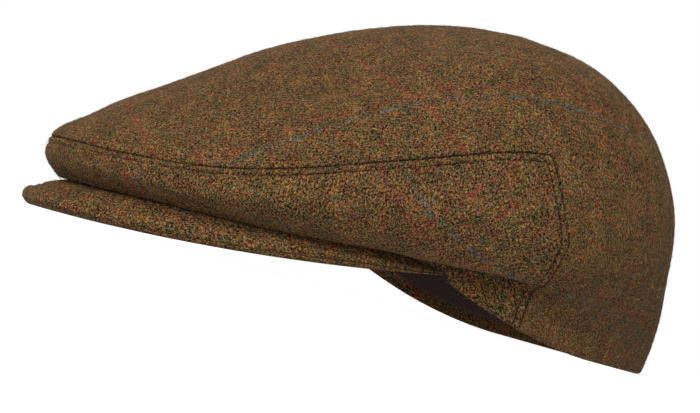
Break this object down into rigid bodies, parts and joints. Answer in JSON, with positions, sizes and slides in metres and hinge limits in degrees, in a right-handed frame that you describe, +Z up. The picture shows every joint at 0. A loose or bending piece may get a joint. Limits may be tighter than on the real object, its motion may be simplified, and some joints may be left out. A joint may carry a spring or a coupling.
{
  "type": "flat cap",
  "caption": "Tweed flat cap with a one-piece top and back drape, a wrapped side panel, a sewn two-layer peak and a ribbed sweatband round an open head hollow.",
  "frame": {"origin": "centre of the cap's box, on the surface it rests on", "axes": "+Z up, -Y the way the peak points, +X the wearer's left, +Y the back of the cap"},
  "size_m": [0.2086, 0.2765, 0.1245],
  "materials": {
    "tweed": "woollen tweed in a brown twill with coloured flecks, matt and slightly hairy",
    "under_tweed": "the same woollen tweed, on the underside of the peak",
    "ribbon": "dark brown ribbed ribbon, low sheen"
  },
  "bodies": {
    "root": {"top_panel": "tweed", "side_panel": "tweed", "peak_upper": "tweed", "peak_under": "under_tweed", "sweatband": "ribbon"}
  },
  "joints": []
}
